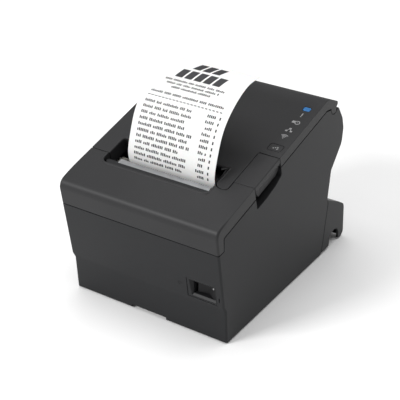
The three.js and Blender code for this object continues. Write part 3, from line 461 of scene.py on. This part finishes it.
def makeFrontCover():
    half, wall, seam = body["half"], body["wall"], body["seam"]
    faceTop = front["face"][0]
    outer = [
        (faceTop[0] - 0.08, faceTop[1] + seam),
        (*frontEdge, front["edgeRadius"]),
        onSlope(front["rear"], 0),
        onSlope(front["rear"], -front["band"]),
        onSlope(front["side"], -front["band"], 1.5),
        (-88.4, 86.6),
    ]
    inner = [
        (-92.8, 80),
        (frontEdge.x + wall * 1.15, frontEdge.y - wall * 0.85, front["edgeRadius"] - wall),
        onSlope(front["rear"] + 5, -wall),
        onSlope(front["rear"] + 5, -30),
    ]
    side = half - 0.05
    cover = placed(roundFront(prism(outer, -side, side)), "frontCover")
    exitCut = [
        (wayOut["left"], wayOut["front"], wayOut["corner"]),
        (wayOut["right"], wayOut["front"], wayOut["corner"]),
        (wayOut["right"], 20),
        (wayOut["left"], 20),
    ]
    tongueCut = [
        (wayOut["right"] - seam, tongue["front"] - seam, tongue["left"] + seam),
        (tongue["right"] + seam, tongue["front"] - seam, tongue["corner"] + seam),
        (tongue["right"] + seam, 20),
        (wayOut["right"] - seam, 20),
    ]
    wide = wayOut["bead"]
    weld(cover, bead([
        (wayOut["left"] - wide, wayOut["front"] - wide, wayOut["corner"] + wide),
        (wayOut["right"] + wide, wayOut["front"] - wide, wayOut["corner"] + wide),
        (wayOut["right"] + wide, 0),
        (wayOut["left"] - wide, 0),
    ]))
    carve(
        cover,
        prism(inner, seam - half + wall, half - wall - seam),
        tilted(prism(exitCut, -30, 5, "z")),
        tilted(prism(tongueCut, -30, 5, "z")),
        tilted(block((-half - 1, wayOut["left"] + 0.01), (-seam / 2, 20), (-30, 5))),
    )
    skirt = tilted(block((wayOut["left"] - 1.8, wayOut["left"]), (wayOut["front"] + 6, -seam / 2), (-9.5, -1.2)))
    weld(cover, skirt)
    soften(cover, shellEdge)
    return fit(cover, "front_cover", looks["cover"], "cover", "front_cover", smooth=17)


makeFrontCover()
print("front cover made")

button = {"x": (57.3, 69.3), "s": (52, 60.2)}
lens = {"x": (59.2, 65.8), "s": (105.2, 110.4)}


# What the cover's cheek may fill round the hinge
def hingeCheek():
    return [(70, 125), (80.5, 125), (82.2, 136.8), (83.5, 138.5), (83.4, 139.6), (81.5, 141.2), (70, 146.8)]


def makeRollCover():
    half, wall, seam = body["half"], body["wall"], body["seam"]
    inside = half - wall
    outer = [
        onSlope(tongue["front"], 0),
        (*crest, 14),
        (83.7, 140.64, 1.5),
        (83.7, 138.4),
        (82.4, 136.7),
        (hinge["y"], 136.9),
        onSlope(122, -8.8),
        onSlope(tongue["front"], -8.8),
    ]
    innerCrest = meet(onSlope(0, -wall), onSlope(110, -wall), (67.1, 145.9), (83.6, 137.93))
    inner = [
        onSlope(-6.2, -wall),
        (*innerCrest, 11.5),
        (81.1, 139.14),
        (81.4, 130),
        onSlope(-6.2, -40),
    ]
    plan = [
        (-half - 1, seam / 2),
        (wayOut["left"], seam / 2),
        (wayOut["left"], wayOut["rear"], 2.5),
        (wayOut["right"], wayOut["rear"], 2.5),
        (wayOut["right"], tongue["front"], tongue["left"]),
        (tongue["right"], tongue["front"], tongue["corner"]),
        (tongue["right"], lever["rear"] + 0.5, 1.2),
        (half + 1, lever["rear"] + 0.5),
        (half + 1, 160),
        (-half - 1, 160),
    ]
    cover = placed(prism(outer, -half, half), "rollCover")
    reach = 5.9
    for side in (-1, 1):
        ends = sorted((side * inside, side * half))
        weld(cover, prism([(hinge["y"] - 3.4, 136), (hinge["y"] + 2.6, 136), (hinge["y"] + 2, 141),
                           (hinge["y"] - 2.6, 142)], *ends))
        cheek = placed(rod((hinge["y"], hinge["z"]), reach, *ends), "cheek")
        combine(cheek, "INTERSECT", prism(hingeCheek(), *sorted((0, side * (half + 1)))))
        join(cover, cheek)
    weld(cover, bead([
        (wayOut["right"] - 3, tongue["front"] - 3), (wayOut["right"] + wayOut["bead"], tongue["front"] - 3),
        (wayOut["right"] + wayOut["bead"], wayOut["rear"] + 1.5, 1), (wayOut["right"] - 3, wayOut["rear"] + 1.5),
    ]))
    combine(cover, "INTERSECT", tilted(prism(plan, -70, 5, "z")))
    carve(cover, prism(inner, -inside, inside))
    # Walls round the paper's way out, the wall beside the lever, and the hinge's ears
    shapes = [
        tilted(block((wayOut["left"] - 1.8, wayOut["left"]), (seam / 2, wayOut["rear"] + 1.2), (-12.5, -1.2))),
        tilted(block((wayOut["left"] - 1.6, wayOut["right"] + 1.1), (wayOut["rear"] + 0.03, wayOut["rear"] + 1.3),
                     (-7, -1.3))),
        tilted(block((wayOut["right"] + 0.03, wayOut["right"] + 1.25), (4.8, wayOut["rear"] + 1.4), (-9, -1.4))),
        tilted(block((52, tongue["right"] - 0.04), (0.5, 49), (-14, -1.5))),
    ]
    for side in (-1, 1):
        ends = sorted((side * 62, side * 65.6))
        shapes.append(rod((hinge["y"], hinge["z"]), 3.3, *ends))
        shapes.append(prism([(76, 137.6), (81, 137.6), (81, 140.2), (76, 142.8)], ends[0] + 0.06, ends[1] - 0.06))
    weld(cover, *shapes)
    carve(
        cover,
        rod((hinge["y"], hinge["z"]), 1.85, -66, -61),
        rod((hinge["y"], hinge["z"]), 1.85, 61, 66),
        tilted(rod((39, -3), 1.3, 50, 55)),
        tilted(prism(rounded(button, 1.8), -20, 5, "z")),
        tilted(prism(rounded(lens, 1.2), -20, 5, "z")),
    )
    soften(cover, shellEdge)
    return fit(cover, "roll_cover", looks["cover"], "cover", "roll_cover", smooth=17)


def rounded(opening, radius, shrink=0.0):
    x0, x1 = opening["x"][0] + shrink, opening["x"][1] - shrink
    s0, s1 = opening["s"][0] + shrink, opening["s"][1] - shrink
    return [(x0, s0, radius), (x1, s0, radius), (x1, s1, radius), (x0, s1, radius)]


# Adds one finished piece to another by a union, and removes it
def join(piece, other):
    modifier = piece.modifiers.new("join", "BOOLEAN")
    modifier.operation = "UNION"
    modifier.object = other
    modifier.solver = "EXACT"
    settle(piece)
    bpy.data.objects.remove(other)


makeRollCover()
print("roll cover made")

case = {
    "rear": [(86.4, 134.2, 3), (94.9, 121.6, 12), (97.9, 111.5, 8), (96.6, 98.5, 10), (79.7, 78.8, 3)],
    "back": [(76.5, 54.6), (77.5, 47.3), (74.3, 28.6), (72.1, 12.1), (69.9, 1.2)],
    "pocket": [(8.6, -20.7), (22, -20.9, 8), (36, -19.6, 8), (46.4, -16.5, 3), (46.4, 10), (8.6, 10)],
    "switch": {"x": (40.4, 66.4), "z": (36.4, 54)},
    "notch": (-17, 16, 3.4),
}


def makeLowerCase():
    half, wall, seam = body["half"], body["wall"], body["seam"]
    inside = half - wall
    faceTop, faceFoot = front["face"]
    outer = [
        (-82.8, body["floor"]),
        (-84.6, 30.4),
        faceFoot,
        faceTop,
        (-88, 86.2),
        onSlope(front["side"] + 0.5, -front["band"] - seam, 1.1),
        onSlope(front["rear"], -front["band"] - seam),
        onSlope(front["rear"], -8.8 - seam),
        onSlope(121.5, -8.8 - seam),
        *case["rear"],
        *case["back"],
    ]
    hollow = [
        (-80.2, -0.8), (-82.05, 31.2), (-85.1, 36.5), (-93.3, 89), (-93.3, 160), (82.2, 160), (83.8, 133.4),
        (92.5, 120.8, 10), (95.4, 111.5, 6), (94.2, 99.4, 8), (77.2, 79.7, 2), (74, 54.9), (75, 47.4),
        (71.8, 28.9), (69.6, 12.3), (67.2, -0.8),
    ]
    shell = placed(roundFront(prism(outer, -half, half)), "lowerCase")
    hingeAt = (hinge["y"], hinge["z"])
    lining = [onSlope(6.6, -22.7), onSlope(48.4, -22.7), onSlope(48.4, -10.4), onSlope(6.6, -12.8)]
    pocket = [(*onSlope(*corner[:2]), *corner[2:]) for corner in case["pocket"]]
    switch = case["switch"]
    carve(shell, prism(hollow, -inside, inside))
    weld(shell, prism(lining, 62, inside + 0.3))
    carve(
        shell,
        prism(pocket, 64, half + 1),
        block(switch["x"], (-100, -70), switch["z"]),
        block((-59, 61), (66, 80), (6.5, 45)),
        block(case["notch"][:2], (-90, -75), (0, case["notch"][2])),
        block((68.6, 69.3), (-100, -87.4), (40.6, 44.6)),
        rod(hingeAt, 6.3, inside - 0.05, half + 1),
        rod(hingeAt, 6.3, -half - 1, -inside + 0.05),
    )
    for side in (-1, 1):
        ends = sorted((side * 66, side * 69.7))
        foot = sorted((side * 66.3, side * (inside + 0.3)))
        weld(
            shell,
            prism([(74, 120), (78.2, 120), (78.2, 137.4), (76.4, 137.4), (74, 132)], *ends),
            rod(hingeAt, 2.2, ends[0] + 0.05, ends[1] - 0.05),
            prism([(72.2, 116), (79, 116), (79, 128), (72.2, 128)], *foot),
            rod(hingeAt, 1.5, *sorted((side * 61.8, side * 66.2))),
        )
    # The lip that turns under the cover's tail
    turns = [math.radians(angle) for angle in range(-118, -27, 9)]
    under = [(hinge["y"] + 7.2 * math.cos(t), hinge["z"] + 7.2 * math.sin(t)) for t in reversed(turns)]
    over = [(hinge["y"] + 8.8 * math.cos(t), hinge["z"] + 8.8 * math.sin(t)) for t in turns[:-1]]
    weld(shell, prism([*under, *over, (85.6, 129), (87.6, 131.2)], -60.5, 60.5))
    soften(shell, lambda middle: 0.3)
    return fit(shell, "base", looks["casing"], "casing", "lower_case")


makeLowerCase()
print("lower case made")


def makeConnectorCover():
    half = body["half"]
    outer = [
        (70.6, 2.2), (72.6, 12.1), (74.8, 28.6), (78, 47.3), (77.2, 51.5), (100.5, 39.2, 6), (110, 33, 6),
        (112, 3.8, 4), (107, 0.6, 2), (101.5, 2.2),
    ]
    hollow = [
        (66, -2), (66, 20), (77, 60), (79.6, 47.9), (99.6, 36.9, 4), (108, 31.2, 4), (109.8, 3.8, 3), (106, -2),
    ]
    cover = placed(prism(outer, -half, half), "connectorCover")
    carve(
        cover,
        prism(hollow, -half + 2.2, half - 2.2),
        prism([(85, -1), (102, -1), (102, 14.5, 8.4), (85, 14.5, 8.4)], -half - 1, half + 1),
    )
    # Grip ribs on the rear face
    ribs = [prism([(109.9, 12), (111, 12), (111.1, 26), (110, 26)], x - 0.8, x + 0.8) for x in range(-12, 13, 4)]
    weld(cover, *ribs)
    soften(cover, lambda middle: 0.45 if abs(middle.x) > half - 0.1 else 0.3)
    return fit(cover, "connector_cover", looks["casing"], "casing", "connector_cover")


makeConnectorCover()
print("connector cover made")


# ---- lever, button and lights


def makeLever():
    half = body["half"]
    section = [
        (lever["left"], 0), (lever["left"], -7), (56.3, -7), (56.3, -2.5), (69.6, -2.5, 1), (70, -5.2, 1.5),
        (68.6, -7.8, 1.5), (66, -8.8, 1), (66.6, -16), (69.2, -16, 1), (70.6, -9, 6),
        (half, -4, 2), (half, 0, 0.8),
    ]
    piece = placed(tilted(prism(section, lever["front"], lever["rear"], "y")), "coverOpenLever")
    hook = [
        (26, -5), (26, -10), (30.6, -30.4, 1), (35.6, -30.4, 1), (34, -28.2), (32.4, -28.2), (33.4, -10), (35, -5),
    ]
    weld(piece, tilted(prism(hook, lever["left"] + 0.3, 57.6)), tilted(block((56, 60), (36, 42), (-6, -1))))
    start, end = lever["front"], lever["rear"]
    carve(
        piece,
        tilted(rod((39, -3), 1.3, 50, 64)),
        tilted(prism([(start - 1, -3.5), (start, -3.5), (start + 7.5, -17), (start - 1, -17)], 65, 73)),
        tilted(prism([(start - 1, -3.5), (start, -3.5), (start + 1.5, -12), (start - 1, -12)], 54, 65.5)),
        tilted(prism([(end + 1, -11), (end - 5, -17), (end + 1, -17)], 65, 73)),
        tilted(prism([(end - 0.6, 0.1), (end + 0.1, 0.1), (end + 0.1, -0.6)], 54, 73)),
    )
    soften(piece, lambda middle: 0.3)
    return fit(piece, "lever", looks["lever"], "cover", "cover_open_lever")


def makeButton():
    piece = placed(tilted(prism(rounded(button, 1.5, 0.3), -3.2, -0.1, "z")), "feedButton")
    weld(piece, tilted(block((62, 64.6), (55, 57.2), (-5.2, -3))))
    soften(piece, lambda middle: 0.25)
    return fit(piece, "button", looks["cover"], "cover", "feed_button")


def makeLens():
    piece = placed(tilted(prism(rounded(lens, 1, 0.3), -4, -0.1, "z")), "statusLens")
    weld(piece, tilted(block((61.2, 63.8), (106.5, 109.1), (-6.4, -3.9))))
    soften(piece, lambda middle: 0.25)
    return fit(piece, "roll_cover", looks["lens"], "lens", "status_lens")


makeLever()
makeButton()
makeLens()
print("lever, button and lens made")

marks = {"x": 62.5, "thick": 0.06, "line": 0.7}


# A flat mark on the sloping top, from one corner to the other about (x, s)
def tile(bm, x, s, width, length, turn=0.0):
    place = Matrix.Translation((x, s, 0)) @ Matrix.Rotation(math.radians(turn), 4, "Z")
    bmesh.ops.create_cube(bm, size=1, matrix=place @ Matrix.Diagonal((width, length, marks["thick"], 1)))


# Part of a flat ring, in tiles
def ring(bm, x, s, radius, start, end, width):
    steps = max(4, round((end - start) / 20))
    for i in range(steps):
        turn = start + (end - start) * (i + 0.5) / steps
        length = 2 * radius * math.sin(math.radians((end - start) / steps / 2)) * 1.05
        angle = math.radians(turn)
        tile(bm, x + radius * math.cos(angle), s + radius * math.sin(angle), width, length, turn)


def makeMarks():
    x, line = marks["x"], marks["line"]
    alert, supply, network, wireless = 99.2, 89.4, 79.3, 70.4
    bm = bmesh.new()
    tile(bm, x, alert + 0.9, 0.9, 3.2)  # alert: a stroke over a dot
    tile(bm, x, alert - 1.8, 0.9, 0.9)
    ring(bm, x + 1.4, supply, 1.9, 0, 360, line)  # supply: a roll and its sheet
    tile(bm, x - 1.9, supply + 0.3, 2.8, 2.6)
    tile(bm, x + 1.4, supply, 0.8, 0.8)
    tile(bm, x, network + 1.6, 2, 1.7)  # network: one box joined to two
    for side in (-1, 1):
        tile(bm, x + side * 2, network - 1.5, 1.8, 1.6)
        tile(bm, x + side, network, 0.5, 2.2, side * 38)
    for radius in (1.6, 2.9, 4.2):  # wireless: three waves over a dot
        ring(bm, x, wireless - 1.9, radius, 48, 132, line * 0.85)
    tile(bm, x, wireless - 1.9, 0.9, 0.9)
    piece = placed(tilted(bm), "panelMarks")
    fit(piece, "roll_cover", looks["print"], "cover")

    bm = bmesh.new()
    middle = (sum(button["x"]) / 2, sum(button["s"]) / 2)
    for i in range(3):
        tile(bm, middle[0] - 1.6 + i * 1.5, middle[1] - 0.9 + i * 0.9, 1.1, 0.8)
    tile(bm, middle[0] + 1.9, middle[1] - 1, 0.7, 2, -30)
    bmesh.ops.translate(bm, verts=bm.verts, vec=(0, 0, -0.1))
    piece = placed(tilted(bm), "buttonMark")
    fit(piece, "button", looks["print"], "cover")


makeMarks()
print("marks made")


# ---- power switch

rocker = {"x": 56, "y": -84.8, "low": 40.3, "high": 51.8}


def makeSwitch():
    gap = 0.15
    switch = case["switch"]
    low, high = switch["z"][0] + gap, switch["z"][1] - gap
    top, foot = front["face"]
    lean = (top[0] - foot[0]) / (top[1] - foot[1])
    side = [(foot[0] + lean * (z - foot[1]) + 0.3, z) for z in (low, high)]
    ends = (switch["x"][0] + gap, switch["x"][1] - gap)
    shell = placed(prism([*side, (-72, high), (-72, low)], *ends), "switchHousing")
    mouth = [(41.2, -92), (65.8, -92), (65.2, -86), (45, -86)]
    ramp = [(-92, low + 0.2), (-88.2, low + 0.6), (-86, low + 3.2), (-86, high - 1.4), (-92, high - 0.5)]
    room = placed(prism(mouth, low, high, "z"), "room")
    combine(room, "INTERSECT", prism(ramp, 40, 67))
    modifier = shell.modifiers.new("room", "BOOLEAN")
    modifier.operation = "DIFFERENCE"
    modifier.object = room
    settle(shell)
    bpy.data.objects.remove(room)
    carve(shell, block((45, 65.2), (-92, -74), (low + 3.2, high - 1.4)))
    soften(shell, lambda middle: 0.3)
    fit(shell, "base", looks["casing"], "casing", "switch_housing")

    plan = [(-8.6, 0.6), (0, 2.4, 6), (8.6, -2.6, 0.5), (8.6, -1.2), (6.6, 4.2, 1), (-6.6, 5.6, 1), (-8.6, 2.4)]
    corners = [(rocker["x"] + c[0], rocker["y"] + c[1], *c[2:]) for c in plan]
    piece = placed(prism(corners, rocker["low"], rocker["high"], "z"), "powerRocker")
    soften(piece, lambda middle: 0.35)
    fit(piece, "rocker", looks["inner_plastic"], "socket", "power_rocker")
    dotAt = (rocker["x"] + 6.6, rocker["high"] - 2.6)
    dot = placed(rod(dotAt, 0.75, rocker["y"] - 1.62, rocker["y"] - 1, "y", 20), "rockerDot")
    fit(dot, "rocker", looks["print"], "socket")


# The small raised mark for power, an open ring with a stroke
def makePowerMark():
    top, foot = front["face"]
    lean = math.atan2(foot[0] - top[0], top[1] - foot[1])
    bm = bmesh.new()
    ring(bm, 0, 0, 1.3, 120, 420, 0.35)
    tile(bm, 0, 1.1, 0.35, 1.4)
    spot = Matrix.Translation((34, foot[0] + (top[0] - foot[0]) * 10.5 / 48.9, 46.5))
    upright = Matrix.Rotation(math.pi / 2 + lean, 4, "X") @ Matrix.Diagonal((1, 1, 4, 1))
    bmesh.ops.transform(bm, matrix=spot @ upright, verts=bm.verts)
    fit(placed(bm, "powerMark"), "base", looks["casing"], "casing")


makeSwitch()
makePowerMark()
print("switch made")


# ---- tear bar, lip and receipt

tear = {"left": -43, "right": 41, "front": -6.4, "tip": -0.9, "pitch": 2.0, "low": -2.6, "high": -1.8}


def makeTearBar():
    teeth = []
    count = round((tear["right"] - tear["left"]) / tear["pitch"])
    for i in range(count):
        x = tear["right"] - tear["pitch"] * i
        teeth += [(x - 0.1, tear["tip"] - 0.9), (x - tear["pitch"] / 2, tear["tip"])]
    outline = [
        (tear["left"], tear["front"]), (tear["right"], tear["front"]), *teeth, (tear["left"], tear["tip"] - 0.9),
    ]
    bar = placed(tilted(prism(outline, tear["low"], tear["high"], "z")), "tearBar")
    fit(bar, "base", looks["steel"], "steel", "tear_bar")
    lip = [
        onSlope(wayOut["front"] + 1.6, -6),
        onSlope(wayOut["front"] + 1.4, -2.1, 0.5),
        onSlope(tear["front"] + 0.6, -1.7, 0.3),
        onSlope(tear["front"] + 0.9, -2.9),
        onSlope(-3.6, -2.9),
        onSlope(-3.6, -12),
        onSlope(-9.4, -12),
        onSlope(-9.4, -6),
    ]
    base = placed(prism(lip, wayOut["left"] + 0.7, wayOut["right"] - 0.7), "tearBarBase")
    groove = 1.4
    left, right, start = wayOut["left"] + groove, wayOut["right"] - groove, wayOut["front"] + groove
    plan = [(left, start, 3.6), (right, start, 3.6), (right, 0), (left, 0)]
    combine(base, "INTERSECT", tilted(prism(plan, -20, 3, "z")))
    soften(base, lambda middle: 0.25)
    # The lip is the same plastic as the cover; it takes the darker case finish as painted shade in the groove
    # round the way out.
    fit(base, "base", looks["casing"], "inner_plastic", "tear_bar_base")


makeTearBar()
print("tear bar made")

strip = {
    "width": 79.5,
    "centre": 2.75,
    "sheet": 0.2,
    "bow": 0.7,  # how much the edges fall back at the free end
    "route": [
        onSlope(2.6, -15.2), (-51.4, 109), (-53.5, 115), (-54.6, 124), (-51.6, 136), (-45.2, 152.5), (-36.3, 164),
        (-22.5, 174.2), (-8, 180.4), (8, 181.5),
    ],
}


# The curl in side view, as close points with their distance from the foot
def curl():
    knots = [Vector((0, *place[:2])) for place in strip["route"]]
    line = []
    for i in range(len(knots) - 1):
        before = knots[max(i - 1, 0)]
        after = knots[min(i + 2, len(knots) - 1)]
        lean = (knots[i + 1] - before) / 6
        leave = (after - knots[i]) / 6
        line += interpolate_bezier(knots[i], knots[i] + lean, knots[i + 1] - leave, knots[i + 1], 16)[:-1]
    line.append(knots[-1])
    reach = [0.0]
    for i in range(1, len(line)):
        reach.append(reach[-1] + (line[i] - line[i - 1]).length)
    return line, reach


curlLine, curlReach = curl()
stripLength = curlReach[-1]


# Brings a flat point (across, along) onto the curled strip
def onStrip(place, lift=0.0):
    along = min(max(place.y, 0), stripLength)
    i = next(k for k in range(1, len(curlReach)) if curlReach[k] >= along - 1e-9)
    share = (along - curlReach[i - 1]) / (curlReach[i] - curlReach[i - 1])
    ahead = (curlLine[i] - curlLine[i - 1]).normalized()
    outward = Vector((0, -ahead.z, ahead.y))
    across = 2 * place.x / strip["width"]
    fall = strip["bow"] * (along / stripLength) ** 2 * across * across
    point = curlLine[i - 1].lerp(curlLine[i], share) + outward * (lift - fall)
    return Vector((strip["centre"] + place.x, point.y, point.z))


# A printed patch on the flat sheet, which may lean to the right
def flatMark(bm, x0, x1, y0, y1, lean=0.0):
    cells = max(1, round((x1 - x0) / 6)), max(1, round((y1 - y0) / 2))
    place = Matrix.Translation(((x0 + x1) / 2, (y0 + y1) / 2, 0)) @ Matrix.Diagonal((x1 - x0, y1 - y0, 1, 1))
    grown = bmesh.ops.create_grid(bm, x_segments=cells[0], y_segments=cells[1], size=0.5, matrix=place)
    for vert in grown["verts"]:
        vert.co.x += lean * (vert.co.y - y0) / (y1 - y0)


# A row of made-up words: short strokes a letter wide, with gaps between words
def wordRow(bm, dice, left, right, along, height, pitch=1.55):
    x = left
    while x < right:
        for _ in range(dice.randint(3, 9)):
            if x + pitch > right:
                break
            drop = dice.choice((0, 0, 0.25)) * height
            flatMark(bm, x, x + pitch * 0.68, along, along + height - drop)
            x += pitch
        x += pitch * 0.9


def makeStrip():
    bm = bmesh.new()
    width, middle = strip["width"], stripLength / 2
    place = Matrix.Translation((0, middle, 0)) @ Matrix.Diagonal((width, stripLength, 1, 1))
    bmesh.ops.create_grid(bm, x_segments=16, y_segments=110, size=0.5, matrix=place)
    for vert in bm.verts:
        vert.co = onStrip(vert.co)
    paper = placed(bm, "receiptStrip")
    thick = paper.modifiers.new("sheet", "SOLIDIFY")
    thick.thickness = strip["sheet"] * mm
    thick.offset = 0
    fit(paper, "roll_cover", looks["paper"], "paper", "receipt_strip")

    dice = random.Random(8)
    bm = bmesh.new()
    top = stripLength
    for left, right, along, blocks in ((-12, 14, top - 14, 3), (-21, 21, top - 26, 5)):
        pitch = (right - left) / blocks
        for i in range(blocks):
            x = left + i * pitch
            flatMark(bm, x, x + pitch * 0.8, along, along + 9.5, 3)
    for i, (left, right) in enumerate([(-27, 27), (-24, 24), (-18, 18)]):
        wordRow(bm, dice, left, right, top - 30.4 - i * 3.3, 1.9)
    wordRow(bm, dice, -33, 33, top - 43.5, 2)
    for i in range(21):
        flatMark(bm, -34 + i * 3.25, -34 + i * 3.25 + 2.1, top - 47, top - 46.2)
    for i in range(11):
        along = top - 52.6 - i * 4.7
        wordRow(bm, dice, -34, dice.uniform(4, 16), along, 2.3)
        wordRow(bm, dice, dice.choice((22.5, 24)), 30.5, along, 2.3)
        flatMark(bm, 33, 34.2, along, along + 2.3)
    for vert in bm.verts:
        vert.co = onStrip(vert.co, strip["sheet"] / 2 + 0.06)
    bmesh.ops.recalc_face_normals(bm, faces=bm.faces)
    marks = placed(bm, "receiptPrint")
    thick = marks.modifiers.new("ink", "SOLIDIFY")
    thick.thickness = 0.03 * mm
    fit(marks, "roll_cover", looks["ink"], "paper")


makeStrip()
print("receipt made, flat length", round(stripLength, 1))


# ---- camera, light and floor

view = {
    "camera": (0.41922, -0.65427, 0.49621),
    "azimuth": 33.3382,
    "elevation": 29.19,
    "lens": 96.88,
}


def makeCamera():
    data = bpy.data.cameras.new("camera")
    data.lens = view["lens"]
    data.sensor_width = 36
    camera = bpy.data.objects.new("camera", data)
    scene.collection.objects.link(camera)
    turn = Matrix.Rotation(math.radians(view["azimuth"]), 4, "Z")
    tip = Matrix.Rotation(math.radians(90 - view["elevation"]), 4, "X")
    camera.matrix_world = Matrix.Translation(view["camera"]) @ turn @ tip
    scene.camera = camera


def addLight(name, place, target, size, power, tint="#ffffff"):
    data = bpy.data.lights.new(name, "AREA")
    data.shape = "RECTANGLE"
    data.size, data.size_y = size
    data.energy = power
    data.color = colour(tint)[:3]
    lamp = bpy.data.objects.new(name, data)
    scene.collection.objects.link(lamp)
    direction = Vector(target) - Vector(place)
    lamp.matrix_world = Matrix.Translation(place) @ direction.to_track_quat("-Z", "Y").to_matrix().to_4x4()


def makeStudio():
    bm = bmesh.new()
    bmesh.ops.create_grid(bm, x_segments=1, y_segments=1, size=6)
    mesh = bpy.data.meshes.new("floor")
    bm.to_mesh(mesh)
    bm.free()
    floor = bpy.data.objects.new("floor", mesh)
    scene.collection.objects.link(floor)
    floor.data.materials.append(plain("pale studio floor", 60, ("#f6f6f6", "#fafafa"), (0.85, 0.95), 0))
    world = bpy.data.worlds.new("studio")
    scene.world = world
    world.use_nodes = True
    world.node_tree.nodes["Background"].inputs["Color"].default_value = (1, 1, 1, 1)
    world.node_tree.nodes["Background"].inputs["Strength"].default_value = 0.42
    addLight("key", (-1.0, -1.85, 1.42), (0, 0, 0.08), (0.8, 0.35), 38)
    addLight("top", (0, 0.1, 2.4), (0, 0.1, 0.1), (2.4, 2.0), 40)
    scene.view_settings.view_transform = "Standard"


makeCamera()
makeStudio()
print("studio made")
